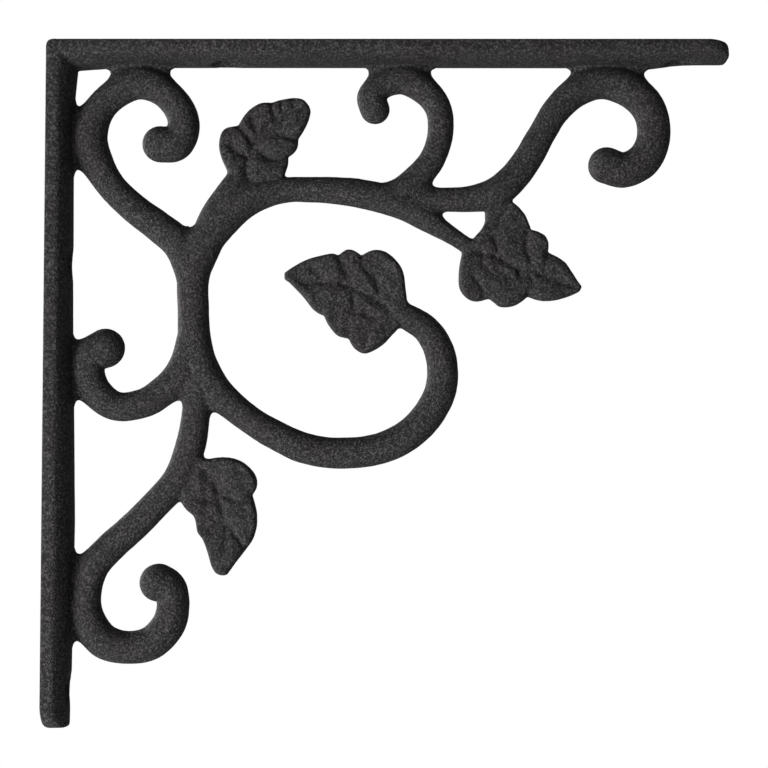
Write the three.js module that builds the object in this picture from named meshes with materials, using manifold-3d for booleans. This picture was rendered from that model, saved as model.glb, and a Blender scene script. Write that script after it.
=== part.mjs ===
// Ornate cast iron shelf bracket: two straps at a right angle, with a vine of scrolls and leaves cast between them.
// Millimetres. X runs out from the wall, Y along it and Z up. The origin is the middle of the wall face.

import * as THREE from "three";
import { mergeVertices } from "three/addons/utils/BufferGeometryUtils.js";
import Module from "manifold-3d";

// Overall sizes
const PROJECTION = 200;
const HEIGHT = 200;

// Straps: flat outside, and rising inside from thin edges over a shoulder to a low crown along the middle
const STRAP_WIDTH = 18;
const STRAP_EDGE = 3.6;
const STRAP_SHOULDER = 0.82;
const STRAP_END_RADIUS = 5;
const SHELF_CROWN = 6.1;
const SHELF_TIP_CROWN = 5.2;
const SHELF_TIP_LENGTH = 18;
const WALL_CROWN = 6.9;
const WALL_SWELL = 1.1;

// The vine's field: it starts at these distances from the wall face and from the shelf face, and fills the rest
const FIELD_FROM_WALL = 7;
const FIELD_FROM_SHELF = 6.6;

// Screw holes, countersunk from the inside: two through each strap
const SCREW_HOLE = 5;
const SCREW_HEAD = 9.5;
const WALL_CORNER_TO_SCREW = 65;
const WALL_END_TO_SCREW = 10.5;
const SHELF_CORNER_TO_SCREW = 52.5;
const SHELF_END_TO_SCREW = 13;

// Stems: width in the bracket's plane, and depth across it
const STEM_WIDTH = 9;
const STEM_DEPTH = 9;
const STRAP_BITE = 1.3;

// Leaves: thickness on the lobes and at the rim, and the depth of the creases between lobes
const LEAF_THICKNESS = 6.6;
const LEAF_RIM = 3.2;
const LEAF_RIM_ROUNDING = 0.9;
const LEAF_SHOULDER = 4;
const LEAF_CREASE = 1.1;

// Facets
const STEM_SIDES = 10;
const RINGS_PER_KNOT = 2;
const EYE_RINGS = 6;
const HOLE_SIDES = 14;
const STRAP_STEPS = 8;
const CORNER_STEPS = 4;
const LEAF_STATIONS = 24;

const TOP = HEIGHT / 2;

const wasm = await Module();
wasm.setup();

// Thickness of the shelf strap at its crown, at a distance out from the wall
function shelfCrown(out) {
  const taper = THREE.MathUtils.smoothstep(out, PROJECTION - SHELF_TIP_LENGTH, PROJECTION);
  return THREE.MathUtils.lerp(SHELF_CROWN, SHELF_TIP_CROWN, taper);
}

// Thickness of the wall strap at its crown, at a distance down from the top: it swells towards the lowest scroll
function wallCrown(down) {
  const swellCentre = 0.72;
  const swellReach = 0.3;
  const away = Math.min(Math.abs(down / HEIGHT - swellCentre) / swellReach, 1);
  return WALL_CROWN + (WALL_SWELL * (1 + Math.cos(Math.PI * away))) / 2;
}

// The vine's points are hundredths of its field, across from the wall and down from the shelf, and a weight is a share
// of the stem's full width. A knot of a stem is a vector whose x and z are its place and whose y is its half width.
const FIELD_ACROSS = PROJECTION - FIELD_FROM_WALL;
const FIELD_DOWN = HEIGHT - FIELD_FROM_SHELF;

function place(across, down) {
  const x = FIELD_FROM_WALL + (across / 100) * FIELD_ACROSS;
  const z = TOP - FIELD_FROM_SHELF - (down / 100) * FIELD_DOWN;
  return new THREE.Vector3(x, 0, z);
}

function knot(across, down, weight) {
  return place(across, down).setY((weight * STEM_WIDTH) / 2);
}

// A knot where the stem runs along the wall strap, biting a little into its crown
function knotOnWall(down, weight) {
  const point = knot(0, down, weight);
  point.x = wallCrown(TOP - point.z) + point.y - STRAP_BITE;
  return point;
}

// A knot where the stem runs along the shelf strap, biting a little into its crown
function knotOnShelf(across, weight) {
  const point = knot(across, 0, weight);
  point.z = TOP - shelfCrown(point.x) - point.y + STRAP_BITE;
  return point;
}

// The vine itself: from the right leaf over the arch, down the trunk and round the great curl to the middle leaf
const vine = [
  knot(61.4, 28.4, 0.5),
  knot(57.8, 26.3, 0.54),
  knot(54.1, 23.2, 0.75),
  knot(50.2, 20.9, 0.95),
  knot(44, 19.5, 0.95),
  knot(37.5, 18.8, 0.84),
  knot(31.3, 18.9, 0.93),
  knot(26.2, 20.3, 1),
  knot(22.2, 23.3, 1.05),
  knot(19.4, 27.4, 1.1),
  knot(18.3, 32.3, 1.07),
  knot(18.7, 42, 1.12),
  knot(19.9, 46.5, 1.15),
  knot(22.4, 50.3, 1.1),
  knot(26.1, 53.4, 0.98),
  knot(30.6, 55.9, 0.92),
  knot(35.3, 58.1, 0.97),
  knot(40.6, 59, 1),
  knot(47.4, 58, 1.02),
  knot(52.6, 54.7, 1.04),
  knot(55.9, 49.4, 1.02),
  knot(56, 44.2, 0.97),
  knot(53.8, 40.2, 0.89),
  knot(50.5, 38, 0.82),
  knot(47.9, 36.4, 0.6),
];

const upperScroll = [
  knot(18.3, 35.5, 0.98),
  knot(17.6, 31.2, 1),
  knot(16, 27.6, 0.98),
  knot(13.2, 24.5, 0.88),
  knot(9.7, 21.6, 0.83),
  knot(6.3, 18.4, 0.92),
  knot(3.5, 14.7, 1.02),
  knotOnWall(10.8, 1.06),
  knot(3.5, 6.9, 1.04),
  knot(6.1, 4, 1.02),
  knotOnShelf(10, 1.08),
  knot(13.6, 3.7, 1),
  knot(16.1, 6.6, 1.02),
  knot(16.7, 9.3, 1.06),
  knot(15.5, 11.4, 1.12),
  knot(13.3, 11.6, 1.18),
];

const topLeafStem = [
  knot(19.2, 30, 1),
  knot(21.7, 24.2, 1.12),
  knot(24.1, 20, 1),
  knot(26.4, 15.8, 0.7),
];

const outerScroll = [
  knot(47, 20, 0.8),
  knot(56.7, 20.6, 0.77),
  knot(60.6, 20.4, 0.82),
  knot(64.2, 19.3, 0.97),
  knot(67, 17.1, 0.96),
  knot(69.5, 14.1, 0.93),
  knot(71.6, 10.4, 0.93),
  knot(73.8, 6.9, 0.95),
  knot(76.8, 3.8, 1.02),
  knotOnShelf(81, 1.12),
  knot(85.4, 3.6, 1.15),
  knot(87.9, 6.8, 1.13),
  knot(88.4, 11, 1.13),
  knot(86.8, 14.1, 1.16),
  knot(84, 15.6, 1.18),
  knot(81.3, 14.9, 1.18),
];

const middleScroll = [
  knot(49, 20.4, 0.9),
  knot(52.5, 17.4, 0.9),
  knot(55, 14.1, 0.84),
  knot(56.1, 10.4, 0.84),
  knot(55.7, 6.9, 0.84),
  knot(54, 4, 0.86),
  knotOnShelf(50.3, 0.9),
  knot(47.2, 2.8, 0.93),
  knot(45.6, 4.7, 0.95),
  knot(46.1, 6.5, 0.97),
];

const trunkScroll = [
  knot(19.2, 45.5, 1),
  knot(17.2, 48.1, 1),
  knot(14.3, 49.9, 0.93),
  knot(11, 51.3, 0.9),
  knot(7, 51.5, 0.91),
  knot(3.9, 49.6, 0.98),
  knotOnWall(46.5, 1.08),
  knot(3, 44.2, 1.13),
  knot(5.1, 43.1, 1.22),
];

const lowerScroll = [
  knot(19.4, 47.3, 1.05),
  knot(19, 52.9, 0.95),
  knot(18.3, 57.9, 0.95),
  knot(16.4, 62.9, 1),
  knot(12.7, 66.9, 0.95),
  knot(6, 73.2, 1.02),
  knot(3.7, 75.8, 1.07),
  knotOnWall(79.6, 1.08),
  knotOnWall(83.2, 1.08),
  knot(5.3, 86.9, 1.1),
  knot(9, 88.1, 1.09),
  knot(12.4, 87.2, 1.12),
  knot(15, 84.5, 1.1),
  knot(15.8, 81.3, 1.05),
  knot(15, 79.1, 1.12),
  knot(13.4, 78.4, 1.22),
];

const scrolls = [upperScroll, middleScroll, outerScroll, trunkScroll, lowerScroll];
const plainStems = [vine, topLeafStem];

// Leaves: the rib from stem to tip, and on each side the lobes from stem to tip. The points of a lobe run from the
// notch before it to the notch after it, or to the leaf's tip, which ends both sides.
const topLeaf = {
  rib: [[26.6, 18.3], [26.8, 14.3], [27.9, 11.7], [29.4, 9.6], [31.6, 7.7], [34, 6.4], [36.1, 6.5]],
  sides: [
    {
      start: [25, 17.5],
      lobes: [
        [[23.8, 15.4], [22.7, 12.9], [22.5, 11.6], [22.8, 10.4], [23.4, 9.7], [25.3, 9.2]],
        [[26.2, 7.8], [27.3, 6.6], [29, 5.8], [30.4, 5.8]],
        [[31.8, 5.3], [34, 5], [35.2, 5.4], [35.9, 6.2]],
      ],
    },
    {
      start: [31.5, 18.5],
      lobes: [
        [[32, 17], [32.4, 15.9], [32.7, 14.9], [32.7, 13.8]],
        [[33.4, 13.1], [33.9, 12.4], [34.1, 11]],
        [[34.9, 10], [35.8, 8.1], [36.1, 6.8]],
      ],
    },
  ],
};

const rightLeaf = {
  rib: [[60.6, 28.1], [62.4, 28.6], [64, 29], [66.6, 30], [69.2, 31], [72.4, 32.3], [77.2, 34.1]],
  sides: [
    {
      start: [61, 27],
      lobes: [
        [[61.7, 26.1], [62.4, 25.3], [63.1, 24], [63.3, 22.1], [64.6, 20.5]],
        [[67.1, 20.6], [67.7, 21.6], [68.7, 22.7], [69.2, 24.1], [69.7, 25.2]],
        [[70.8, 25.5], [72, 26.2], [72.4, 27.3], [72.3, 28.6]],
        [[73.6, 29.3], [74.9, 30.2], [75.9, 31.7], [76.6, 33], [77.1, 33.7]],
      ],
    },
    {
      start: [60.2, 27.6],
      lobes: [
        [[59.4, 28.6], [59.1, 30.4], [59, 32], [59.4, 33.9], [60.6, 35.3], [61.6, 35.6], [63.5, 35.3]],
        [[64.5, 36], [65.1, 36.5], [66.9, 36.5], [68.2, 35.9], [69.3, 35]],
        [[71.1, 35.6], [73.2, 35.6], [75.5, 35], [76.9, 34.3]],
      ],
    },
  ],
};

const middleLeaf = {
  rib: [[50.6, 38], [47.6, 36.4], [45.6, 35.2], [43.1, 33.8], [40, 33.1], [36.5, 32.2], [32.6, 32.1]],
  sides: [
    {
      start: [51, 37],
      lobes: [
        [[50.8, 35.6], [50.6, 33.8], [50.1, 31.2], [48.8, 29.4], [47.2, 28.4], [45.6, 28.4], [44.1, 29.2]],
        [[42.6, 28.3], [41.8, 28.3], [40.6, 29.2]],
        [[39.7, 28.9], [37.9, 29.2], [35.7, 29.9], [33.3, 31.3], [32.8, 31.7]],
      ],
    },
    {
      start: [50.4, 39],
      lobes: [
        [[48.8, 40.5], [46.8, 42.5], [44.4, 43.5], [43.2, 42.9], [42.3, 41.4]],
        [[40.6, 41.1], [39.4, 39.7], [38.5, 38.1]],
        [[37.1, 37.3], [35.1, 34.9], [33.2, 32.9], [32.8, 32.4]],
      ],
    },
  ],
};

const lowerLeaf = {
  rib: [[19, 60.3], [21, 63.1], [22.3, 65.5], [23.1, 67.6], [23.6, 69.9], [23.5, 73], [23.2, 77.3]],
  sides: [
    {
      start: [18.8, 59],
      lobes: [
        [[20.6, 60], [22.6, 59.8], [24.5, 59.9], [26.3, 60.7], [27.9, 62.6], [28, 64.1], [27.4, 65.3]],
        [[27.8, 66.7], [28.1, 68.5], [28, 70.3], [27.5, 71.8], [26.5, 73.3]],
        [[25.2, 75], [24, 76.6], [23.6, 77.1]],
      ],
    },
    {
      start: [17, 63.5],
      lobes: [
        [[17.2, 66.1], [18, 67.3], [19.1, 68.5], [19.4, 69.5], [19.6, 70.9], [20.3, 71.8]],
        [[20.9, 72.9], [21.3, 74.4], [21.7, 75.7], [22.4, 76.8], [22.9, 77.1]],
      ],
    },
  ],
};

const leaves = [topLeaf, rightLeaf, middleLeaf, lowerLeaf];

// A closed geometry as a solid, with its faces turned outwards
function solid(geometry) {
  geometry.deleteAttribute("normal");
  geometry.deleteAttribute("uv");
  const merged = mergeVertices(geometry);
  const vertProperties = Float32Array.from(merged.attributes.position.array);
  const triVerts = Uint32Array.from(merged.index.array);
  const made = new wasm.Manifold(new wasm.Mesh({ numProp: 3, vertProperties, triVerts }));
  if (made.volume() > 0) {
    return made;
  }
  triVerts.reverse();
  return new wasm.Manifold(new wasm.Mesh({ numProp: 3, vertProperties, triVerts }));
}

function unite(solids) {
  return solids.reduce((whole, piece) => whole.add(piece));
}

// Moves every vertex of a geometry to the point that a function gives for it
function reshape(geometry, pointFor) {
  const position = geometry.attributes.position;
  const from = new THREE.Vector3();
  for (let i = 0; i < position.count; i += 1) {
    from.fromBufferAttribute(position, i);
    const to = pointFor(from);
    position.setXYZ(i, to.x, to.y, to.z);
  }
  return geometry;
}

// A stem: a rod bent along the smooth curve through its knots, as wide as the knots say. Its sides start square on
// to the bracket's plane, so that two of its edges lie on its full width.
function stem(knots) {
  const curve = new THREE.CatmullRomCurve3(knots);
  const steps = RINGS_PER_KNOT * (knots.length - 1);
  const rings = curve.getPoints(steps);
  const depthShare = STEM_DEPTH / STEM_WIDTH;
  const rod = new THREE.CylinderGeometry(1, 1, 1, STEM_SIDES, steps, false, Math.PI / 2);
  return solid(
    reshape(rod, (from) => {
      const i = Math.round((0.5 - from.y) * steps);
      const ring = rings[i];
      const along = rings[Math.min(i + 1, steps)].clone().sub(rings[Math.max(i - 1, 0)]);
      const side = new THREE.Vector3(along.z, 0, -along.x).normalize();
      const point = side.multiplyScalar(from.x * ring.y);
      point.x += ring.x;
      point.y = from.z * ring.y * depthShare;
      point.z += ring.z;
      return point;
    }),
  );
}

// The ball that ends a scroll, as thick as the stem's last knot
function eye(knots) {
  const last = knots[knots.length - 1];
  const ball = new THREE.SphereGeometry(last.y, STEM_SIDES, EYE_RINGS);
  ball.scale(1, STEM_DEPTH / STEM_WIDTH, 1);
  ball.translate(last.x, 0, last.z);
  return solid(ball);
}

// The rim of one side of a leaf as evenly many points on each lobe, with each one's nearness to the last notch
function rimOf(side) {
  const stationsPerLobe = LEAF_STATIONS / side.lobes.length;
  let notch = side.start;
  const rim = [place(...notch)];
  for (const lobe of side.lobes) {
    const curve = new THREE.CatmullRomCurve3([notch, ...lobe].map((point) => place(...point)));
    for (let i = 1; i <= stationsPerLobe; i += 1) {
      rim.push(curve.getPointAt(i / stationsPerLobe));
    }
    notch = lobe[lobe.length - 1];
  }
  return rim;
}

// A station is in a crease where a notch ends one lobe and starts the next
function inCrease(side, station) {
  const stationsPerLobe = LEAF_STATIONS / side.lobes.length;
  return station > 0 && station < LEAF_STATIONS && station % stationsPerLobe === 0;
}

// A leaf: a slab whose rows run from the rib out to each rim, swollen between its creases on both faces. It thickens
// from the rim inwards over the width of its shoulder, and the creases lean along the rib towards its root.
const LEAF_ROWS = [0, 0.18, 0.6, 1];
const VEIN_LEAN = 1.4;

function leaf({ rib, sides }) {
  const ribCurve = new THREE.CatmullRomCurve3(rib.map((point) => place(...point)));
  const rims = sides.map(rimOf);
  const outermost = LEAF_ROWS.length - 1;
  const slab = new THREE.BoxGeometry(1, 1, 1, LEAF_STATIONS, 2 * outermost, 2);
  return solid(
    reshape(slab, (from) => {
      const station = Math.round((from.x + 0.5) * LEAF_STATIONS);
      const row = Math.round(from.y * 2 * outermost);
      const face = Math.sign(Math.round(from.z * 2));
      const which = row < 0 ? 0 : 1;
      const root = ribCurve.getPointAt((station / LEAF_STATIONS) ** VEIN_LEAN);
      const way = rims[which][station].clone().sub(root);
      const out = LEAF_ROWS[Math.abs(row)];
      const fromRim = (1 - out) * way.length();
      const swell = THREE.MathUtils.smoothstep(fromRim, -LEAF_SHOULDER, LEAF_SHOULDER) * 2 - 1;
      const creased = row === 0 || inCrease(sides[which], station);
      const depth = THREE.MathUtils.lerp(LEAF_RIM / 2, LEAF_THICKNESS / 2 - (creased ? LEAF_CREASE : 0), swell);
      const rounding = face === 0 ? 0 : Math.min(LEAF_RIM_ROUNDING / way.length(), 0.4);
      return root.addScaledVector(way, out * (1 - rounding)).setY(face * depth);
    }),
  );
}

// Both straps are made in a frame of their own: x along the strap from the corner, y across it and z inwards
const wallFrame = new THREE.Matrix4()
  .makeBasis(new THREE.Vector3(0, 0, -1), new THREE.Vector3(0, 1, 0), new THREE.Vector3(1, 0, 0))
  .setPosition(0, 0, TOP);
const shelfFrame = new THREE.Matrix4()
  .makeBasis(new THREE.Vector3(1, 0, 0), new THREE.Vector3(0, -1, 0), new THREE.Vector3(0, 0, -1))
  .setPosition(0, 0, TOP);

// The strap seen square on: square at the corner, and rounded at its free end
function strapPlan(length) {
  const half = STRAP_WIDTH / 2;
  const inner = half - STRAP_END_RADIUS;
  const shape = new THREE.Shape();
  shape.moveTo(0, -half);
  shape.lineTo(length - STRAP_END_RADIUS, -half);
  shape.absarc(length - STRAP_END_RADIUS, -inner, STRAP_END_RADIUS, -Math.PI / 2, 0);
  shape.absarc(length - STRAP_END_RADIUS, inner, STRAP_END_RADIUS, 0, Math.PI / 2);
  shape.lineTo(0, half);
  return shape;
}

function strap(length, crownAt, frame) {
  const riseShares = [0, STRAP_SHOULDER, 1, STRAP_SHOULDER, 0];
  const rows = riseShares.length - 1;
  const bar = new THREE.BoxGeometry(1, 1, 1, STRAP_STEPS, rows, 1);
  reshape(bar, (from) => {
    const along = (from.x + 0.5) * length;
    const rise = riseShares[Math.round((from.y + 0.5) * rows)];
    const inside = THREE.MathUtils.lerp(STRAP_EDGE, crownAt(along), rise);
    return new THREE.Vector3(along, from.y * STRAP_WIDTH, from.z > 0 ? inside : 0);
  });
  const plan = new THREE.ExtrudeGeometry(strapPlan(length), {
    depth: 2 * STRAP_WIDTH,
    bevelEnabled: false,
    curveSegments: CORNER_STEPS,
  });
  plan.translate(0, 0, -STRAP_WIDTH);
  return solid(bar.applyMatrix4(frame)).intersect(solid(plan.applyMatrix4(frame)));
}

// The space of one screw: its hole, and the cone of its head sunk flush with the crown, both run out past the iron
function screwSpace(along, crown, frame) {
  const headDepth = (SCREW_HEAD - SCREW_HOLE) / 2;
  const past = headDepth / 2;
  const hole = new THREE.CylinderGeometry(SCREW_HOLE / 2, SCREW_HOLE / 2, crown + 2 * past, HOLE_SIDES);
  hole.translate(0, crown / 2, 0);
  const head = new THREE.CylinderGeometry(SCREW_HEAD / 2 + past, SCREW_HOLE / 2, headDepth + past, HOLE_SIDES);
  head.translate(0, crown + (past - headDepth) / 2, 0);
  const spaces = [hole, head].map((space) => {
    space.rotateX(Math.PI / 2);
    space.translate(along, 0, 0);
    return solid(space.applyMatrix4(frame));
  });
  return unite(spaces);
}

function bracketGeometry() {
  const straps = [strap(HEIGHT, wallCrown, wallFrame), strap(PROJECTION, shelfCrown, shelfFrame)];
  const casting = unite([
    ...straps,
    ...[...plainStems, ...scrolls].map(stem),
    ...scrolls.map(eye),
    ...leaves.map(leaf),
  ]);
  const wallScrews = [WALL_CORNER_TO_SCREW, HEIGHT - WALL_END_TO_SCREW];
  const shelfScrews = [SHELF_CORNER_TO_SCREW, PROJECTION - SHELF_END_TO_SCREW];
  const screws = unite([
    ...wallScrews.map((along) => screwSpace(along, wallCrown(along), wallFrame)),
    ...shelfScrews.map((along) => screwSpace(along, shelfCrown(along), shelfFrame)),
  ]);
  const { vertProperties, triVerts } = casting.subtract(screws).getMesh();
  const geometry = new THREE.BufferGeometry();
  geometry.setAttribute("position", new THREE.BufferAttribute(vertProperties, 3));
  geometry.setIndex(new THREE.BufferAttribute(triVerts, 1));
  geometry.computeVertexNormals();
  return geometry;
}

const castIron = new THREE.MeshStandardMaterial({ color: 0x34312f, roughness: 0.75, metalness: 0.4 });

const bracket = new THREE.Mesh(bracketGeometry(), castIron);
bracket.name = "bracket";

const model = new THREE.Group();
model.add(bracket);

export default model;
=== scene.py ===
# Ornate cast iron shelf bracket, dressed. One finished casting stands for the CAD node: it has the
# fillets, the rounded arrises, the leaves' relief and the sand-cast skin. It is worked out in
# millimetres, as a field of distances on a lattice, and its surface is made in metres.

import math

import bpy
import numpy as np
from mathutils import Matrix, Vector


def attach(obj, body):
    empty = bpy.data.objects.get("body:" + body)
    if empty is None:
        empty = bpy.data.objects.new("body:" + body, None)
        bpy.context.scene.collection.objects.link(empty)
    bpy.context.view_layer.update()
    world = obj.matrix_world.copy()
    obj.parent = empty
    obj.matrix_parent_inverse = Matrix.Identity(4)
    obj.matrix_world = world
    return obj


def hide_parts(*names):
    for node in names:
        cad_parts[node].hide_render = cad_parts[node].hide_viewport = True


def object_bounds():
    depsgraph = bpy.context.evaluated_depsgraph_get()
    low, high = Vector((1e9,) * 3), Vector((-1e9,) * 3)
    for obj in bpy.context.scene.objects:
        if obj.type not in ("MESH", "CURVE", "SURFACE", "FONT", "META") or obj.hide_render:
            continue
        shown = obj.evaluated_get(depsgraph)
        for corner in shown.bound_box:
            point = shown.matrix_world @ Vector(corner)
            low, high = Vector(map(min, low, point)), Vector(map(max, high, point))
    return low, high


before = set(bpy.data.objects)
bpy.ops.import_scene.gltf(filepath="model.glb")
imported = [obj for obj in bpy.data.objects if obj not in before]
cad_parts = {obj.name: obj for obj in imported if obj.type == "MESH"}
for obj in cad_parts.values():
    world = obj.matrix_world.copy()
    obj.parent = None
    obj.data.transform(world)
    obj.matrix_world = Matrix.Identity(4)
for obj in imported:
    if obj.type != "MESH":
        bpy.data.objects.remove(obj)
cad_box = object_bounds()

MM = 0.001

# Overall sizes, from the frame: out from the wall, across the straps, and up
PROJECTION, STRAP_WIDTH, HEIGHT = (round((high - low) / MM, 2) for low, high in zip(*cad_box))
TOP = HEIGHT / 2

# Straps: flat outside, and rising inside from thin edges to a crown along the middle
STRAP_EDGE = 3.6
STRAP_CROWN_POWER = 2.5
STRAP_END_RADIUS = 5.0

# Crown of the shelf strap: it swells between two distances from the tip, then thins to the tip's crown
SHELF_CROWN = 6.45
SHELF_SWELL = 0.6
SHELF_SWELL_FROM = 45.0
SHELF_SWELL_TO = 25.0
SHELF_TIP_CROWN = 5.5
SHELF_TIP_LENGTH = 9.0

# Crown of the wall strap: it swells at the lowest scroll. Centre and reach are shares of the height.
WALL_CROWN = 7.1
WALL_SWELL = 1.2
WALL_SWELL_CENTRE = 0.72
WALL_SWELL_REACH = 0.38

# Both crowns are thicker at the corner, by this much and over this length
CORNER_PAD = 1.4
CORNER_PAD_LENGTH = 22.0

# Screw holes, countersunk from the inside: two through each strap, at distances from the corner. The
# form that cuts them stands out of the crown by the clearance.
SCREW_HOLE = 5.0
SCREW_HEAD = 10.5
SCREW_CLEARANCE = (SCREW_HEAD - SCREW_HOLE) / 4
WALL_SCREWS = (65.0, HEIGHT - 10.5)
SHELF_SCREWS = (52.5, PROJECTION - 13.0)

# The vine's field: it starts at these distances from the wall and the shelf face, and fills the rest
FIELD_FROM_WALL = 7.0
FIELD_FROM_SHELF = 6.6
FIELD_ACROSS = PROJECTION - FIELD_FROM_WALL
FIELD_DOWN = HEIGHT - FIELD_FROM_SHELF

# Stems: full width, how far they bite into the straps' crowns, how far from their middle line their
# distances are worked out, and the spacing of that line's points
STEM_WIDTH = 9.0
STRAP_BITE = 0.3
STEM_REACH = STEM_WIDTH + 3
STEM_SPACING = 0.4

# Leaves: half thickness, width of the rounding from the rim inwards, its squareness (2 would be an
# ellipse), how far the rim stands outside its points, how far from it distances are worked out, and
# the spacing of its points and of the veins'
LEAF_BODY = 3.4
LEAF_ROUNDING = 2.0
LEAF_SQUARENESS = 3.0
LEAF_GROWTH = 0.4
LEAF_REACH = 4.0
LEAF_SPACING = 0.8

# Relief of the leaves: depth and half width of the rib's and the veins' grooves and of the broad fall
# of the lobes towards them, and depth and grain size of the crumple
RIB_GROOVE = (0.6, 0.85)
VEIN_GROOVE = (0.6, 0.7)
LOBE_FALL = (0.5, 2.4)
LEAF_CRUMPLE = ((0.4, 4.2), (0.4, 1.8))
CRUMPLE_SEED = 31

# Fillets between stems, on the middle plane and at the stems' crowns, and between a leaf and its stem
STEM_FILLET = 3.4
CROWN_FILLET = 1.7
LEAF_FILLET = 1.2

# Fillets of the vine on the straps. On the middle plane they are the wall's or the shelf's, which
# change over in a band along the corner's diagonal. They narrow to the seam's over a reach to either
# side. They end at a distance from the vine, and fade out before that.
WALL_FILLET = 5.3
SHELF_FILLET = 6.2
SEAM_FILLET = 0.6
STRAP_FILLET_BAND = 20.0
STRAP_FILLET_REACH = 3.2
STRAP_FILLET_END = 6.0
STRAP_FILLET_FADE = 3.0

# Rounding of the arrises: inside and outside along the straps, outside at their free ends, on the
# corner where the straps meet, and round the screw holes. The ends' rounding begins a share of their
# radius before they narrow.
INNER_ARRIS = 1.0
OUTER_ARRIS = 0.4
END_ARRIS = 2.8
END_ARRIS_LEAD = 0.4
CORNER_ROUNDING = 2.4
HOLE_ROUNDING = 0.5

# The lattice that the casting is worked out on, and its margin round the casting
STEP = 0.5
MARGIN = 2.0

# The surface: how many times its points are settled on it, the least rise of the field that they
# follow, the furthest that they move at a time, in steps of the lattice, and its final triangles
SETTLINGS = 2
LEAST_RISE = 0.2
MOST_MOVE = 0.4
MOST_TRIANGLES = 192000

# Casting skin: depth and grain size of its unevenness, depth of its finest grain, and the share of all
# that on the wall and shelf faces, which grows to the whole over a depth behind them
SKIN_RELIEF = ((0.16, 14.0), (0.07, 4.5), (0.035, 1.6))
RELIEF_SEED = 11
GRAIN = 0.012
GRAIN_SEED = 5
SEAT_SHARE = 0.25
SEAT_DEPTH = 2.0

# Noise: cells to a side of the block of random values that repeats, and where in it the bracket starts
NOISE_CELLS = 64
NOISE_START = 1000.0

# Least numbers to divide by: a width, length or share, a leaf's slope, and a squared length or a move
LEAST_LENGTH = 1e-3
LEAST_LEAF_SLOPE = 0.1
TINY = 1e-9

# Finish of the iron. A noise is its scale, detail and roughness, a ramp is places and colours, and a
# bump is its strength and height in metres.
SPECULAR = 0.4
SPECKLE_NOISE = (1500, 3, 0.8)
SPECKLE = [
    (0.35, (0.0015, 0.0014, 0.0015)),
    (0.5, (0.0215, 0.0205, 0.021)),
    (0.65, (0.13, 0.124, 0.127)),
]
TINT_NOISE = (60, 3, 0.55)
TINT = [
    (0.36, (0.92, 0.84, 0.87)),
    (0.5, (1, 0.98, 0.98)),
    (0.64, (0.85, 0.91, 0.88)),
]
ROUGHNESS_NOISE = (400, 3, 0.6)
ROUGHNESS = [
    (0.35, (0.5, 0.5, 0.5)),
    (0.65, (0.68, 0.68, 0.68)),
]
FINE_NOISE = (1500, 3, 0.7)
FINE_BUMP = (1.0, 0.0007)
COARSE_NOISE = (650, 3, 0.55)
COARSE_BUMP = (0.8, 0.00022)

# Floor, in metres
FLOOR_LEVEL = -0.45
FLOOR_RADIUS = 1.4
FLOOR_SIDES = 96
FLOOR_COLOUR = (0.82, 0.82, 0.82)
FLOOR_ROUGHNESS = 0.8

# Lights, each with its name, place, width and power, all aimed at the bracket. The world is white where
# the camera sees it, and gives only a faint light.
LIGHTS = [
    ("key", (-0.62, -0.66, -0.42), 0.55, 18.6),
    ("fill", (-0.3, -1.3, 0.1), 1.0, 2.2),
    ("back", (-0.9, 0.85, 0.25), 0.8, 7),
]
AIM = Vector((0.1, 0.0, 0.0))
WORLD_SEEN = 1.0
WORLD_LIGHT = 0.105

# The camera stands a little below the middle of the bracket and looks up slightly. Its place is in
# metres, and its lens and sensor are in millimetres.
CAMERA_AT = (0.09867, -0.615, -0.0382)
CAMERA_LENS = 98.6
CAMERA_SENSOR = 36
CAMERA_TILT = math.radians(3.51)


def on_wall(down, weight):
    """A knot that bites into the wall strap's crown, down the field."""
    return ("wall", down, weight)


def on_shelf(across, weight):
    """A knot that bites into the shelf strap's crown, across the field."""
    return ("shelf", across, weight)


# The vine's knots are (across, down, weight): hundredths of its field, across from the wall and down
# from the shelf, and a share of the stem's full width
VINE = [
    (61.4, 28.3, 0.52), (57.9, 26, 0.53), (53.9, 23.4, 0.77), (50, 21.1, 0.97), (43.9, 19.5, 0.94),
    (37.5, 18.9, 0.83), (31.3, 19.1, 0.88), (26.4, 20.7, 1.07), (22.7, 23.8, 1.16), (19.8, 27.6, 1.16),
    (18.5, 32.3, 1.02), (18.5, 37, 1), (18.8, 42, 1.05), (20, 46.4, 1.08), (22.6, 50.1, 0.98),
    (26.3, 53.3, 0.91), (30.5, 56, 0.94), (35.2, 58.2, 1), (40.6, 59, 1.01), (47.6, 58.1, 1.01),
    (52.7, 55, 1.04), (56.1, 49.5, 1.03), (56.1, 44.3, 0.99), (54, 40.3, 0.91), (50.6, 38.1, 0.82),
    (47.9, 36.5, 0.6),
]
UPPER_SCROLL = [
    (18.6, 35.5, 0.9), (18, 31.2, 1.02), (16.3, 27.3, 1.06), (13.1, 24.5, 1), (9.5, 21.8, 0.96),
    (6, 18.5, 0.97), (3.7, 14.7, 1.08), on_wall(10.8, 1.16), (3.8, 6.9, 1.02), (6.3, 4.2, 1),
    on_shelf(10, 1.13), (13.7, 3.8, 1), (16.2, 6.6, 1), (16.8, 9.4, 1.06), (15.6, 11.8, 1.12),
    (13.3, 11.9, 1.2),
]
TOP_LEAF_STEM = [(19.3, 30, 1), (21.7, 24, 1.15), (24.1, 19.8, 1.04), (25.3, 16.4, 0.64), (25.2, 14.4, 0.4)]
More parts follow.
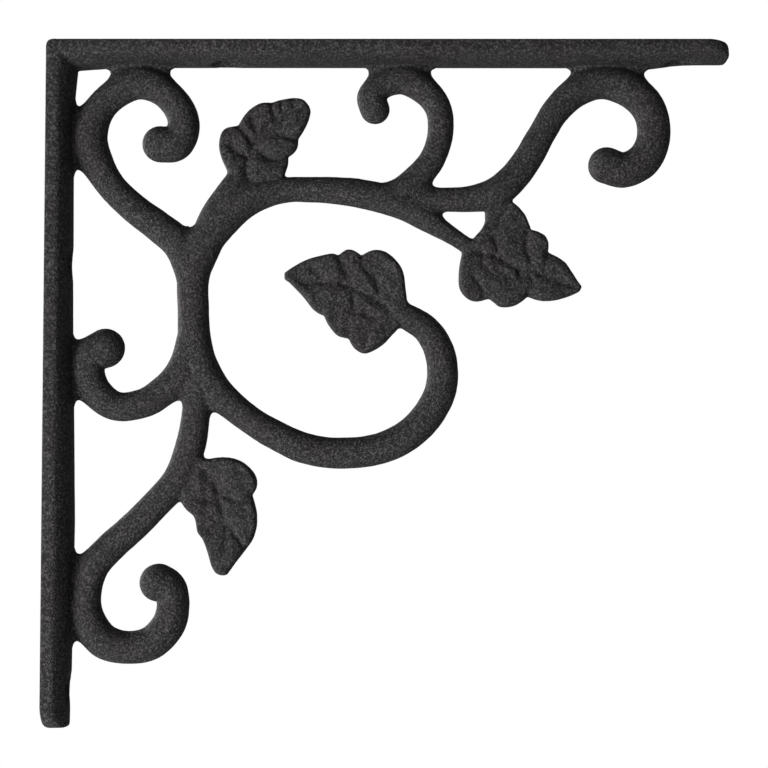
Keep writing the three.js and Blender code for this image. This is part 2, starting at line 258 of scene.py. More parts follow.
OUTER_SCROLL = [
    (47, 20, 0.8), (56.7, 20.4, 0.77), (60.7, 20.3, 0.82), (64.5, 19.4, 1.01), (67.2, 17.2, 1),
    (69.5, 14.1, 0.95), (71.6, 10.4, 0.92), (73.8, 6.8, 0.93), (76.8, 3.9, 0.98), on_shelf(81, 1.07),
    (85.6, 3.9, 1.12), (88.2, 6.9, 1.1), (88.7, 11.1, 1.1), (87.1, 14.4, 1.14), (84.1, 15.9, 1.14),
    (81.4, 15.2, 1.18),
]
MIDDLE_SCROLL = [
    (44.5, 19.7, 0.85), (47.3, 19.8, 0.85), (49.9, 19.2, 0.9), (52.4, 17.2, 0.88), (54.9, 14.1, 0.84),
    (56.1, 10.4, 0.84), (55.9, 6.8, 0.85), (54.2, 4.1, 0.91), on_shelf(50.4, 0.96), (47.1, 2.9, 0.93),
    (45.6, 4.7, 0.97), (46.1, 6.5, 0.99),
]
TRUNK_SCROLL = [
    (18.2, 41.5, 0.9), (17.5, 45.1, 1.02), (16, 47.8, 1.02), (13.8, 49.8, 0.96), (10.9, 51.5, 0.94),
    (6.9, 51.9, 0.94), (3.9, 49.8, 1.0), on_wall(46.5, 1.05), (3.1, 44.2, 1.12), (5.2, 43.1, 1.24),
]
LOWER_SCROLL = [
    (19.4, 47.3, 0.95), (19, 52.9, 0.89), (18.2, 57.9, 0.97), (16.3, 62.9, 1), (12.8, 66.9, 0.95),
    (9.4, 70.3, 0.93), (6.1, 73.3, 0.97), (3.8, 75.9, 1.0), on_wall(79.6, 0.96), on_wall(83.2, 1.02),
    (5.1, 87.1, 1.1), (9, 88.2, 1.04), (12.6, 87.4, 1.07), (15.1, 84.6, 1.09), (15.7, 81.4, 1.05),
    (15, 79.2, 1.12), (13.5, 78.5, 1.22),
]
STEMS = [VINE, UPPER_SCROLL, TOP_LEAF_STEM, OUTER_SCROLL, MIDDLE_SCROLL, TRUNK_SCROLL, LOWER_SCROLL]

# Leaves: how strong the relief is, the rib and the other veins as lines from their roots, and two sides,
# each a start and its lobes from stem to tip. A lobe runs from the notch before it to the one after it.
TOP_LEAF = {
    "relief": 1.45,
    "rib": [(26.7, 18.3), (26.8, 14.6), (28, 12), (29.5, 9.9), (31.6, 8), (34.1, 6.5)],
    "veins": [
        [(27.9, 12.4), (25.3, 9.2)], [(28.1, 10.3), (27.4, 8.1)], [(30.8, 8), (30.4, 5.9)],
        [(32.1, 8), (31.9, 5.6)], [(26.8, 14.1), (24.4, 12.7)], [(31.5, 10.7), (34.3, 11.3)],
        [(28.2, 12.7), (30.2, 14.3), (32.8, 14)], [(26.7, 18.3), (29, 18.5), (32, 17.9)],
    ],
    "sides": [
        ((25, 17.5), [
            [(23.5, 15.5), (22.6, 12.9), (22.5, 11.6), (22.8, 10.4), (23.4, 9.7), (25.3, 9.2)],
            [(26.2, 7.8), (27.3, 6.6), (29, 5.8), (30.4, 5.8)],
            [(31.8, 5.4), (34, 5.1), (35.2, 5.4), (35.9, 6.2)],
        ]),
        ((31.5, 18.5), [
            [(32, 17), (32.4, 15.9), (32.7, 14.9), (32.7, 13.8)],
            [(33.6, 13.1), (34.1, 12.4), (34.3, 11)],
            [(34.9, 10), (35.8, 8.1), (36.1, 6.8)],
        ]),
    ],
}
RIGHT_LEAF = {
    "relief": 1.1,
    "rib": [(61.5, 28.5), (63.9, 28.9), (67.1, 30.6), (69.1, 31.2), (72.3, 32.5), (76.2, 33.8)],
    "veins": [
        [(65, 28.6), (64.3, 26.4), (65.5, 22.9)], [(69.7, 29.9), (69.2, 27.4), (69.4, 25.6)],
        [(71.8, 32.3), (72.1, 30.6), (72.4, 28.8)], [(62.5, 28.8), (62.4, 30.2)],
        [(67.7, 30.8), (68.2, 32.1)], [(69.7, 32.1), (70.2, 33.8), (69.4, 35)], [(62.4, 34), (60.8, 32.1)],
    ],
    "sides": [
        ((61, 27), [
            [(61.7, 26.1), (62.4, 25.3), (63.1, 24), (63.3, 22.1), (64.6, 20.5)],
            [(66.6, 20.8), (67.8, 21.6), (68.8, 22.8), (69.4, 24.1), (69.8, 25.2)],
            [(70.8, 25.5), (72, 26.2), (72.4, 27.3), (72.3, 28.6)],
            [(73.6, 29.3), (74.9, 30.2), (75.9, 31.7), (76.7, 33), (77.3, 33.8)],
        ]),
        ((60.4, 27.6), [
            [(59.7, 28.7), (59.3, 30.4), (59.1, 32), (59.3, 34), (60.5, 35.4), (61.6, 35.7), (63.5, 35.3)],
            [(64.5, 36), (65.1, 36.5), (66.9, 36.5), (68.2, 35.9), (69.3, 35)],
            [(71.1, 35.6), (73.2, 35.6), (75.5, 35), (77.1, 34.3)],
        ]),
    ],
}
MIDDLE_LEAF = {
    "relief": 1.0,
    "rib": [(49.6, 38.8), (47.3, 36.4), (45.6, 35.3), (43.1, 34), (40, 33.4), (38.1, 33.1), (34.7, 33.1)],
    "veins": [
        [(47, 35.3), (45.9, 32.1), (44.6, 31.1), (44.1, 29.4)], [(42.8, 33.8), (42.2, 32.6), (40.6, 29.3)],
        [(38.3, 32.9), (36.4, 30.6)], [(42.8, 34.9), (43.1, 37.3)], [(44.6, 38.2), (45.9, 38.4)],
    ],
    "sides": [
        ((51, 37), [
            [
                (50.8, 35.6), (50.6, 33.8), (50.1, 31.2), (48.8, 29.4), (47.2, 28.4), (45.6, 28.4),
                (44.1, 29.2),
            ],
            [(42.6, 28.3), (41.8, 28.3), (40.6, 29.2)],
            [(39.7, 28.9), (37.9, 29.2), (35.7, 29.9), (33.2, 31.3), (32.5, 31.8)],
        ]),
        ((50.4, 39), [
            [(48.9, 40.6), (46.9, 42.6), (44.5, 43.7), (43.1, 43), (42.2, 41.5)],
            [(40.5, 41.1), (39.3, 39.7), (38.5, 38)],
            [(37.1, 37.3), (35.1, 34.9), (33.2, 33), (32.5, 32.5)],
        ]),
    ],
}
LOWER_LEAF = {
    "relief": 1.1,
    "rib": [(20.2, 61.4), (21.3, 62.8), (22.5, 64.9), (22.9, 66.7), (23.7, 69.8), (23.6, 73)],
    "veins": [
        [(21.7, 62.6), (23.5, 65.4), (26.2, 66.2), (27.5, 65.2)],
        [(23.5, 69.8), (25.2, 71.5), (26.5, 73.2)],
        [(22.6, 65.4), (20.9, 66.2)], [(23.4, 69.2), (21.4, 70.6)],
    ],
    "sides": [
        ((18.8, 59), [
            [(20.6, 60), (22.6, 59.8), (24.5, 59.9), (26.4, 60.7), (28, 62.6), (28.1, 64.1), (27.4, 65.3)],
            [(27.8, 66.7), (28.1, 68.5), (28, 70.3), (27.5, 71.8), (26.5, 73.3)],
            [(25.2, 75), (24, 76.7), (23.6, 77.2)],
        ]),
        ((17, 63.5), [
            [(16.9, 66), (17.7, 67.4), (18.9, 68.4), (19.3, 69.5), (19.5, 70.9), (20.2, 71.8)],
            [(20.7, 72.9), (21.2, 74.4), (21.6, 75.7), (22.3, 76.9), (22.9, 77.2)],
        ]),
    ],
}
LEAVES = [TOP_LEAF, RIGHT_LEAF, MIDDLE_LEAF, LOWER_LEAF]


def smoothstep(t):
    t = np.clip(t, 0, 1)
    return t * t * (3 - 2 * t)


def shelf_crown(out):
    """Thickness of the shelf strap at its crown, at a distance out from the wall."""
    from_tip = PROJECTION - out
    swell = SHELF_SWELL * smoothstep((SHELF_SWELL_FROM - from_tip) / (SHELF_SWELL_FROM - SHELF_SWELL_TO))
    taper = smoothstep((SHELF_SWELL_TO - from_tip) / (SHELF_SWELL_TO - SHELF_TIP_LENGTH))
    crown = SHELF_CROWN + swell + CORNER_PAD * (1 - smoothstep(out / CORNER_PAD_LENGTH))
    return crown + (SHELF_TIP_CROWN - crown) * taper


def wall_crown(down):
    """Thickness of the wall strap at its crown, at a distance down from the top."""
    away = np.minimum(np.abs(down / HEIGHT - WALL_SWELL_CENTRE) / WALL_SWELL_REACH, 1)
    pad = CORNER_PAD * (1 - smoothstep(down / CORNER_PAD_LENGTH))
    return WALL_CROWN + pad + WALL_SWELL * (1 + np.cos(np.pi * away)) / 2


def place(across, down):
    """The place (x, z) of a point that is given in hundredths of the vine's field."""
    return FIELD_FROM_WALL + across / 100 * FIELD_ACROSS, TOP - FIELD_FROM_SHELF - down / 100 * FIELD_DOWN


def knot(row):
    """A knot as (x, half width, z)."""
    half = row[2] * STEM_WIDTH / 2
    if row[0] == "wall":
        z = place(0, row[1])[1]
        return (float(wall_crown(TOP - z)) + half - STRAP_BITE, half, z)
    if row[0] == "shelf":
        x = place(row[1], 0)[0]
        return (x, half, TOP - float(shelf_crown(x)) - half + STRAP_BITE)
    x, z = place(row[0], row[1])
    return (x, half, z)


def spline(points, spacing):
    """The centripetal spline through the points, as points about that spacing apart.

    Between p1 and p2 it is a cubic, with the tangents m1 and m2 at its ends.
    """
    p = np.array(points, float)
    p = np.vstack([2 * p[0] - p[1], p, 2 * p[-1] - p[-2]])
    out = []
    for p0, p1, p2, p3 in zip(p, p[1:], p[2:], p[3:]):
        a, b, c = (math.sqrt(np.linalg.norm(v)) or 1.0 for v in (p1 - p0, p2 - p1, p3 - p2))
        m1 = ((p1 - p0) / a - (p2 - p0) / (a + b) + (p2 - p1) / b) * b
        m2 = ((p2 - p1) / b - (p3 - p1) / (b + c) + (p3 - p2) / c) * b
        steps = max(1, math.ceil(np.linalg.norm(p2 - p1) / spacing))
        t = (np.arange(steps) / steps)[:, None]
        out.append(p1 + m1 * t + (3 * (p2 - p1) - 2 * m1 - m2) * t**2 + (2 * (p1 - p2) + m1 + m2) * t**3)
    out.append(p[-2:-1])
    return np.vstack(out)


# The lattice: x out from the wall, z up, and y from the middle plane to one side, in that order
xs = np.arange(-MARGIN, PROJECTION + MARGIN + STEP, STEP, dtype=np.float32)
ys = np.arange(0, STRAP_WIDTH / 2 + MARGIN + STEP, STEP, dtype=np.float32)
zs = np.arange(-TOP - MARGIN, TOP + MARGIN + STEP, STEP, dtype=np.float32)
X, Z = np.meshgrid(xs, zs, indexing="ij")
Y3 = ys[None, None, :]

# A distance that stands for far away, and the corners of a cell
FAR = np.float32(1e3)
CORNERS = [(a, b, c) for a in (0, 1) for b in (0, 1) for c in (0, 1)]


def window(lo_x, hi_x, lo_z, hi_z):
    """The lattice's rows and columns that a box in its plane covers."""
    i0, i1 = np.searchsorted(xs, [lo_x, hi_x])
    k0, k1 = np.searchsorted(zs, [lo_z, hi_z])
    return slice(max(i0 - 1, 0), i1 + 1), slice(max(k0 - 1, 0), k1 + 1)


def blend(a, b, width):
    """The union of two fields of distances with a fillet of that width, which may be a field itself."""
    width = np.maximum(width, LEAST_LENGTH)
    h = np.maximum(width - np.abs(a - b), 0) / width
    return np.minimum(a, b) - h * h * width / 4


def cut(a, b, width):
    """What the forms of two fields have in common, with a rounded arris."""
    return -blend(-a, -b, width)


class Casting:
    """The casting so far: its field of distances on the lattice, and the way in which the field rises."""

    def __init__(self):
        shape = (*X.shape, len(ys))
        self.f = np.full(shape, FAR, np.float32)
        self.way = np.zeros((3, *shape), np.float32)

    def add(self, w, f, way, fillet):
        """Adds a form. The fillet is full where surfaces face each other, and none where they run on."""
        old, old_way = self.f[w], self.way[(slice(None), *w)]
        along = sum(a * b for a, b in zip(old_way, way))
        joined = blend(old, f, fillet * np.clip(1 - along, 0, 1))
        nearer = f < old
        for i in range(3):
            old_way[i] = np.where(nearer, way[i], old_way[i])
        self.f[w] = joined


def stem_plane(rows):
    """Each point's distance from a stem's middle line, the half width there, and the way out from it."""
    line = spline([knot(row) for row in rows], STEM_SPACING)
    best = np.full(X.shape, FAR, np.float32)
    dist = np.full(X.shape, FAR, np.float32)
    half = np.zeros(X.shape, np.float32)
    way_x = np.zeros(X.shape, np.float32)
    way_z = np.zeros(X.shape, np.float32)
    for x, r, z in line:
        w = window(x - STEM_REACH, x + STEM_REACH, z - STEM_REACH, z + STEM_REACH)
        dx, dz = X[w] - np.float32(x), Z[w] - np.float32(z)
        d = np.sqrt(dx * dx + dz * dz)
        q = d - np.float32(r)
        nearer = q < best[w]
        for field, value in ((best, q), (dist, d), (half, np.float32(r)), (way_x, dx), (way_z, dz)):
            field[w] = np.where(nearer, value, field[w])
    return dist, half, way_x, way_z


def add_stem(casting, rows):
    """Adds a stem, round in section, whose fillet narrows from its sides to its crown."""
    dist, half, way_x, way_z = stem_plane(rows)
    near = np.argwhere(dist < FAR / 2)
    (i0, k0), (i1, k1) = near.min(0), near.max(0) + 1
    w = (slice(i0, i1), slice(k0, k1))
    d, r, dx, dz = (a[w][:, :, None] for a in (dist, half, way_x, way_z))
    length = np.sqrt(d * d + Y3 * Y3)
    f = np.where(d < FAR / 2, length - r, FAR)
    length = np.maximum(length, LEAST_LENGTH)
    fillet = CROWN_FILLET + (STEM_FILLET - CROWN_FILLET) * smoothstep(1 - Y3 / (STEM_WIDTH / 2))
    casting.add((*w, slice(None)), f, (dx / length, Y3 / length + 0 * d, dz / length), fillet)


def line_distance(x, z, line):
    """Distance from each point to an open line of points."""
    best = np.full(x.shape, FAR, np.float32)
    for (ax, az), (bx, bz) in zip(line, line[1:]):
        ex, ez = bx - ax, bz - az
        t = np.clip(((x - ax) * ex + (z - az) * ez) / max(ex * ex + ez * ez, TINY), 0, 1)
        best = np.minimum(best, np.hypot(x - ax - t * ex, z - az - t * ez))
    return best


def inside(x, z, ring):
    """Which points lie inside a closed line of points."""
    odd = np.zeros(x.shape, bool)
    for (ax, az), (bx, bz) in zip(ring, np.roll(ring, -1, 0)):
        if az != bz:
            crosses = (az > z) != (bz > z)
            odd ^= crosses & (x < ax + (z - az) / (bz - az) * (bx - ax))
    return odd


def leaf_line(points):
    return spline([place(*p) for p in points], LEAF_SPACING)


def leaf_ring(sides):
    """The outline of a leaf, as one closed line of points: along one side and back along the other."""
    rims = []
    for start, lobes in sides:
        rim = []
        notch = start
        for lobe in lobes:
            rim.append(leaf_line([notch, *lobe]))
            notch = lobe[-1]
        rims.append(np.vstack(rim))
    return np.vstack([rims[0], rims[1][::-1]])


def corner_weights(t):
    """The corners of a cell, each with its share in points at t of the way through it."""
    for corner in CORNERS:
        x, y, z = (t[:, i] if corner[i] else 1 - t[:, i] for i in range(3))
        yield corner, x * y * z


def value_noise(points, size, seed):
    """Smooth noise between -1 and 1 at points in millimetres, with grains of about that size."""
    rng = np.random.default_rng(seed)
    block = rng.uniform(-1, 1, (NOISE_CELLS, NOISE_CELLS, NOISE_CELLS)).astype(np.float32)
    p = points / size + NOISE_START
    base = np.floor(p).astype(int)
    t = p - base
    t = t * t * (3 - 2 * t)
    out = np.zeros(len(points))
    for corner, weight in corner_weights(t):
        at = (base + corner) % NOISE_CELLS
        out += weight * block[tuple(at.T)]
    return out


def leaf_body(leaf, x, z):
    """Half the thickness of a leaf at each point: less in its grooves and beside them, and crumpled."""
    groove = np.zeros_like(x)
    fall = np.zeros_like(x)
    relief = leaf["relief"]
    grooves = [(leaf["rib"], RIB_GROOVE), *((vein, VEIN_GROOVE) for vein in leaf["veins"])]
    for points, (depth, width) in grooves:
        d = line_distance(x, z, leaf_line(points))
        groove = np.maximum(groove, relief * depth * np.exp(-((d / width) ** 2)))
        fall = np.maximum(fall, relief * LOBE_FALL[0] * np.exp(-((d / LOBE_FALL[1]) ** 2)))
    flat = np.stack([x.ravel(), 0 * x.ravel(), z.ravel()], 1)
    crumple = sum(
        depth * value_noise(flat, size, CRUMPLE_SEED + i) for i, (depth, size) in enumerate(LEAF_CRUMPLE)
    )
    return LEAF_BODY - groove - fall + crumple.reshape(x.shape)


def add_leaf(casting, leaf):
    """Adds a leaf: a plate with relief, rounded towards its rim as a superellipse."""
    ring = leaf_ring(leaf["sides"])
    (lo_x, lo_z), (hi_x, hi_z) = ring.min(0), ring.max(0)
    w = window(lo_x - LEAF_REACH, hi_x + LEAF_REACH, lo_z - LEAF_REACH, hi_z + LEAF_REACH)
    x, z = X[w], Z[w]
    rim = line_distance(x, z, np.vstack([ring, ring[:1]]))
    rim = np.where(inside(x, z, ring), rim, -rim)
    rim += LEAF_GROWTH
    body = leaf_body(leaf, x, z)[:, :, None]
    inset = np.maximum(1 - rim / LEAF_ROUNDING, 0)[:, :, None]
    n = LEAF_SQUARENESS
    share = (inset**n + (Y3 / body) ** n) ** (1 / n)
    slope_in = (inset / np.maximum(share, LEAST_LENGTH)) ** (n - 1) / LEAF_ROUNDING
    slope_up = (Y3 / body / np.maximum(share, LEAST_LENGTH)) ** (n - 1) / body
    f = ((share - 1) / np.maximum(np.hypot(slope_in, slope_up), LEAST_LEAF_SLOPE)).astype(np.float32)
    up = np.ones_like(f)
    casting.add((*w, slice(None)), f, (0 * up, up, 0 * up), LEAF_FILLET)


def strap_field(along, out, length, crown_at):
    """A strap in its own frame: along it from the corner, and out from its flat outer face.

    It is what the form under the crowned inner face and the strap's plan, with its round end, have in
    common above the outer face.
    """
    crown = crown_at(along)[:, :, None]
    rise = 1 - np.minimum(Y3 / (STRAP_WIDTH / 2), 1) ** STRAP_CROWN_POWER
    inner = out[:, :, None] - (STRAP_EDGE + (crown - STRAP_EDGE) * rise)
    past_y = Y3 - (STRAP_WIDTH / 2 - STRAP_END_RADIUS)
    past_end = (along - (length - STRAP_END_RADIUS))[:, :, None]
    corner = np.hypot(np.maximum(past_y, 0), np.maximum(past_end, 0))
    corner = corner + np.minimum(np.maximum(past_y, past_end), 0)
    plan = np.where(past_end > 0, corner - STRAP_END_RADIUS, Y3 - STRAP_WIDTH / 2)
    f = cut(inner, plan, INNER_ARRIS)
    by_end = smoothstep(past_end / STRAP_END_RADIUS + END_ARRIS_LEAD)
    f = cut(f, -out[:, :, None], OUTER_ARRIS + (END_ARRIS - OUTER_ARRIS) * by_end)
    return cut(f, -along[:, :, None], LEAST_LENGTH).astype(np.float32)


def screw_space(along, out, at, crown):
    """The space of one screw: its hole, and the cone of its head, as wide as the head at the crown."""
    r = np.sqrt((along[:, :, None] - at) ** 2 + Y3**2)
    past = out[:, :, None] - crown - SCREW_CLEARANCE
    cone = np.maximum((r - (SCREW_HEAD / 2 + out[:, :, None] - crown)) / math.sqrt(2), past)
    return np.minimum(np.maximum(r - SCREW_HOLE / 2, past), cone)


def strap_fillet(vine, down, out):
    """The fillet's width where the vine, given by its field, meets the straps."""
    by_wall = smoothstep((down - out) / STRAP_FILLET_BAND + 0.5)[:, :, None]
    widest = SHELF_FILLET + (WALL_FILLET - SHELF_FILLET) * by_wall
    fillet = SEAM_FILLET + (widest - SEAM_FILLET) * smoothstep(1 - Y3 / STRAP_FILLET_REACH)
    return fillet * smoothstep((STRAP_FILLET_END - np.abs(vine)) / STRAP_FILLET_FADE)


def casting_field():
    """The whole casting's field: stems, leaves and straps joined, and its corner and screw holes cut."""
    casting = Casting()
    for rows in STEMS:
        add_stem(casting, rows)
    for leaf in LEAVES:
        add_leaf(casting, leaf)
    down, out = TOP - Z, X
    wall = strap_field(down, out, HEIGHT, wall_crown)
    shelf = strap_field(out, down, PROJECTION, shelf_crown)
    f = blend(casting.f, np.minimum(wall, shelf), strap_fillet(casting.f, down, out))
    f = np.maximum(f, cut(-out, -down, CORNER_ROUNDING)[:, :, None])
    for at in WALL_SCREWS:
        f = cut(f, -screw_space(down, out, at, float(wall_crown(at))), HOLE_ROUNDING)
    for at in SHELF_SCREWS:
        f = cut(f, -screw_space(out, down, at, float(shelf_crown(at))), HOLE_ROUNDING)
    return f


def cell_points(f, cells):
    """A point in each cell: the mean of the places where the surface crosses the cell's edges."""
    value = [f[tuple((cells + corner).T)] for corner in CORNERS]
    total = np.zeros((len(cells), 3))
    count = np.zeros(len(cells))
    for a, va in zip(CORNERS, value):
        for axis in range(3):
            if a[axis]:
                continue
            b = list(a)
            b[axis] = 1
            vb = value[CORNERS.index(tuple(b))]
            crosses = (va < 0) != (vb < 0)
            point = np.tile(np.array(a, float), (len(cells), 1))
            point[:, axis] = np.where(crosses, va / np.where(crosses, va - vb, 1), 0)
            total += point * crosses[:, None]
            count += crosses
    return cells + total / count[:, None]


def edge_quads(inner, number):
    """A quad for each edge of the lattice that the surface crosses, between the four cells round it."""
    quads = []
    for axis in range(3):
        u, v = (axis + 1) % 3, (axis + 2) % 3
        lo = [slice(1, -1)] * 3
        lo[axis] = slice(0, -1)
        hi = list(lo)
        hi[axis] = slice(1, None)
        here, there = inner[tuple(lo)], inner[tuple(hi)]
        for mask, turned in ((here & ~there, False), (~here & there, True)):
            at = np.argwhere(mask) + np.array([0 if i == axis else 1 for i in range(3)])
            ring = []
            for du, dv in ((0, 0), (-1, 0), (-1, -1), (0, -1)):
                cell = at.copy()
                cell[:, u] += du
                cell[:, v] += dv
                ring.append(number[tuple(cell.T)])
            ring = np.stack(ring, 1)
            quads.append(ring[:, ::-1] if turned else ring)
    return np.vstack(quads)


def skin(f):
    """The zero surface of a field as points and quads: one point in each cell that it passes through."""
    inner = f < 0
    shape = np.array(f.shape) - 1
    i, j, k = shape
    held = np.zeros(shape, np.int8)
    for a, b, c in CORNERS:
        held += inner[a:i + a, b:j + b, c:k + c]
    cells = np.argwhere((held > 0) & (held < len(CORNERS)))
    number = np.full(shape, -1, np.int32)
    number[tuple(cells.T)] = np.arange(len(cells))
    return cell_points(f, cells), edge_quads(inner, number)


def settle(points, f):
    """Moves each point along the field's slope onto its zero surface, by Newton's method."""
    slopes = np.gradient(f)
    for _ in range(SETTLINGS):
        base = np.clip(np.floor(points).astype(int), 0, np.array(f.shape) - 2)
        value = np.zeros(len(points))
        slope = np.zeros_like(points)
        for corner, weight in corner_weights(points - base):
            at = tuple((base + corner).T)
            value += weight * f[at]
            for i in range(3):
                slope[:, i] += weight * slopes[i][at]
        rise = np.maximum((slope**2).sum(1), (LEAST_RISE * STEP) ** 2)
        move = -(value / rise)[:, None] * slope
        length = np.linalg.norm(move, axis=1)
        move *= np.minimum(1, MOST_MOVE / np.maximum(length, TINY))[:, None]
        points = points + move
    return points


def casting_surface():
    """The casting's surface before its skin: its points in millimetres, and its quads."""
    half = casting_field()
    # The other side mirrors this one, and they share the middle plane
    f = np.concatenate([half[:, :, :0:-1], half], axis=2)
    points, quads = skin(f)
    x, z, y = settle(points, f).T
    return np.stack([xs[0] + x * STEP, -ys[-1] + y * STEP, zs[0] + z * STEP], 1), quads


def mesh_from(name, points, faces):
    mesh = bpy.data.meshes.new(name)
    mesh.vertices.add(len(points))
    mesh.vertices.foreach_set("co", np.asarray(points, np.float32).ravel())
    mesh.loops.add(faces.size)
    mesh.loops.foreach_set("vertex_index", faces.astype(np.int32).ravel())
    mesh.polygons.add(len(faces))
    mesh.polygons.foreach_set("loop_start", np.arange(0, faces.size, faces.shape[1], dtype=np.int32))
    mesh.update(calc_edges=True)
    mesh.validate()
    return mesh


def vertex_values(mesh, what):
    """One of the vertices' values, such as their places, as rows of three numbers."""
    values = np.zeros(len(mesh.vertices) * 3, np.float32)
    mesh.vertices.foreach_get(what, values)
    return values.reshape(-1, 3).astype(float)


def roughen(mesh):
    """Moves the vertices in or out by the casting skin's unevenness."""
    co = vertex_values(mesh, "co")
    normal = vertex_values(mesh, "normal")
    relief = np.zeros(len(co))
    for i, (depth, size) in enumerate(SKIN_RELIEF):
        relief += depth * value_noise(co / MM, size, RELIEF_SEED + i)
    relief += GRAIN * np.random.default_rng(GRAIN_SEED).normal(size=len(co))
    behind = np.minimum(co[:, 0] / MM, TOP - co[:, 2] / MM)
    relief *= SEAT_SHARE + (1 - SEAT_SHARE) * smoothstep(behind / SEAT_DEPTH)
    co += normal * relief[:, None] * MM
    mesh.vertices.foreach_set("co", co.astype(np.float32).ravel())
    mesh.polygons.foreach_set("use_smooth", np.ones(len(mesh.polygons), bool))
    mesh.update()


def make_casting():
    """The casting's piece: its surface, brought down to fewer triangles and then roughened."""
    points, quads = casting_surface()
    full = mesh_from("casting_full", points * MM, quads)
    piece = bpy.data.objects.new("bracket_casting", full)
    bpy.context.scene.collection.objects.link(piece)
    fewer = piece.modifiers.new("fewer", "DECIMATE")
    fewer.ratio = min(1.0, MOST_TRIANGLES / (2 * len(quads)))
    bpy.context.view_layer.update()
    reduced = bpy.data.meshes.new_from_object(piece.evaluated_get(bpy.context.evaluated_depsgraph_get()))
    piece.modifiers.clear()
    piece.data = reduced
    bpy.data.meshes.remove(full)
    reduced.name = "bracket_casting"
    roughen(reduced)
    return piece


def cast_iron():
    """Charcoal iron: speckled and faintly tinted, unevenly glossy, with a coarse and a fine grain."""
    material = bpy.data.materials.new("cast_iron_charcoal")
    material.use_nodes = True
    tree = material.node_tree
    tree.nodes.clear()
    link = tree.links.new
    out = tree.nodes.new("ShaderNodeOutputMaterial")
    shader = tree.nodes.new("ShaderNodeBsdfPrincipled")
    link(shader.outputs["BSDF"], out.inputs["Surface"])
    shader.inputs["Metallic"].default_value = 0.0
    shader.inputs["Specular IOR Level"].default_value = SPECULAR
    where = tree.nodes.new("ShaderNodeTexCoord")

    def noise(scale, detail, roughness):
        made = tree.nodes.new("ShaderNodeTexNoise")
        made.inputs["Scale"].default_value = scale
        made.inputs["Detail"].default_value = detail
        made.inputs["Roughness"].default_value = roughness
        link(where.outputs["Object"], made.inputs["Vector"])
        return made.outputs["Fac"]

    def ramp(source, stops):
        made = tree.nodes.new("ShaderNodeValToRGB")
        link(source, made.inputs["Fac"])
        elements = made.color_ramp.elements
        while len(elements) < len(stops):
            elements.new(0.5)
        for element, (at, colour) in zip(elements, stops):
            element.position = at
            element.color = (*colour, 1)
        return made.outputs["Color"]

    def bump(source, strength, height):
        made = tree.nodes.new("ShaderNodeBump")
        made.inputs["Strength"].default_value = strength
        made.inputs["Distance"].default_value = height
        link(source, made.inputs["Height"])
        return made

    mix = tree.nodes.new("ShaderNodeMix")
    mix.data_type = "RGBA"
    mix.blend_type = "MULTIPLY"
    mix.inputs["Factor"].default_value = 1
    first, second = (socket for socket in mix.inputs if socket.type == "RGBA")
    product = next(socket for socket in mix.outputs if socket.type == "RGBA")
    link(ramp(noise(*SPECKLE_NOISE), SPECKLE), first)
    link(ramp(noise(*TINT_NOISE), TINT), second)
    link(product, shader.inputs["Base Color"])
    link(ramp(noise(*ROUGHNESS_NOISE), ROUGHNESS), shader.inputs["Roughness"])
    fine = bump(noise(*FINE_NOISE), *FINE_BUMP)
    coarse = bump(noise(*COARSE_NOISE), *COARSE_BUMP)
    link(coarse.outputs["Normal"], fine.inputs["Normal"])
    link(fine.outputs["Normal"], shader.inputs["Normal"])
    return material


def plain(name, colour, roughness):
    material = bpy.data.materials.new(name)
    material.use_nodes = True
    shader = material.node_tree.nodes["Principled BSDF"]
    shader.inputs["Base Color"].default_value = (*colour, 1)
    shader.inputs["Roughness"].default_value = roughness
    return material


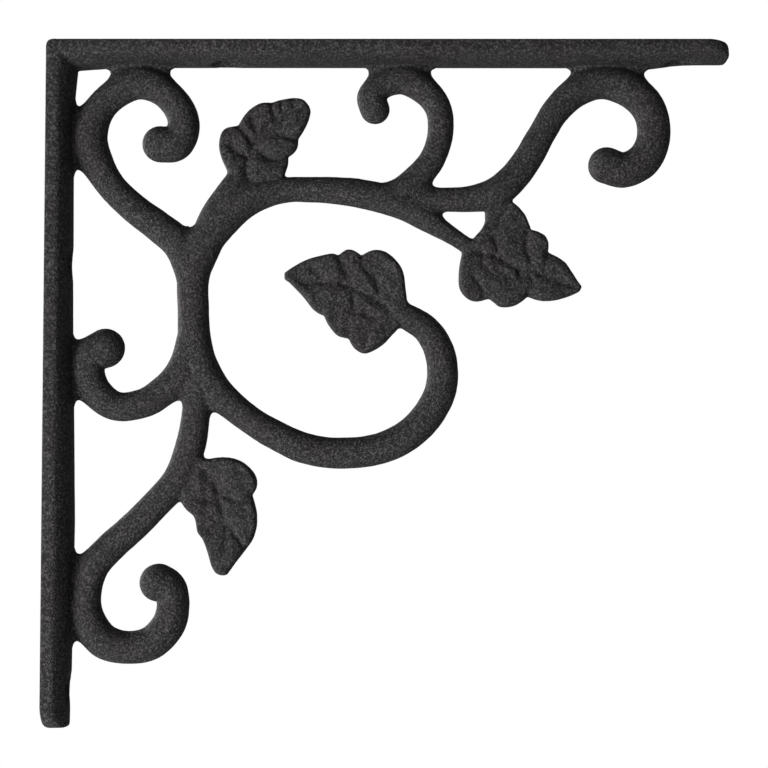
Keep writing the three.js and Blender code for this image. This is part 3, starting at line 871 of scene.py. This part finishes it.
def make_floor():
    turns = [2 * math.pi * i / FLOOR_SIDES for i in range(FLOOR_SIDES)]
    ring = [(FLOOR_RADIUS * math.cos(turn), FLOOR_RADIUS * math.sin(turn), FLOOR_LEVEL) for turn in turns]
    mesh = bpy.data.meshes.new("floor")
    mesh.from_pydata(ring, [], [tuple(range(FLOOR_SIDES))])
    floor = bpy.data.objects.new("floor", mesh)
    bpy.context.scene.collection.objects.link(floor)
    mesh.materials.append(plain("pale_floor", FLOOR_COLOUR, FLOOR_ROUGHNESS))


def area_light(name, at, size, power):
    light = bpy.data.lights.new(name, "AREA")
    light.shape = "DISK"
    light.size = size
    light.energy = power
    lamp = bpy.data.objects.new(name, light)
    lamp.location = at
    lamp.rotation_euler = (AIM - Vector(at)).to_track_quat("-Z", "Y").to_euler()
    bpy.context.scene.collection.objects.link(lamp)


def white_background(tree, strength):
    made = tree.nodes.new("ShaderNodeBackground")
    made.inputs["Color"].default_value = (1, 1, 1, 1)
    made.inputs["Strength"].default_value = strength
    return made.outputs["Background"]


def make_lights():
    for row in LIGHTS:
        area_light(*row)
    world = bpy.data.worlds.new("studio")
    bpy.context.scene.world = world
    world.use_nodes = True
    tree = world.node_tree
    tree.nodes.clear()
    out = tree.nodes.new("ShaderNodeOutputWorld")
    path = tree.nodes.new("ShaderNodeLightPath")
    pick = tree.nodes.new("ShaderNodeMixShader")
    tree.links.new(path.outputs["Is Camera Ray"], pick.inputs[0])
    tree.links.new(white_background(tree, WORLD_LIGHT), pick.inputs[1])
    tree.links.new(white_background(tree, WORLD_SEEN), pick.inputs[2])
    tree.links.new(pick.outputs[0], out.inputs["Surface"])


def make_camera():
    data = bpy.data.cameras.new("camera")
    data.lens = CAMERA_LENS
    data.sensor_width = CAMERA_SENSOR
    camera = bpy.data.objects.new("camera", data)
    camera.location = CAMERA_AT
    camera.rotation_euler = (math.pi / 2 + CAMERA_TILT, 0, 0)
    bpy.context.scene.collection.objects.link(camera)
    bpy.context.scene.camera = camera


make_camera()
make_lights()
make_floor()
bpy.context.scene.view_settings.view_transform = "Standard"

casting = make_casting()
casting.data.materials.clear()
casting.data.materials.append(cast_iron())
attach(casting, "root")
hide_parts("bracket")
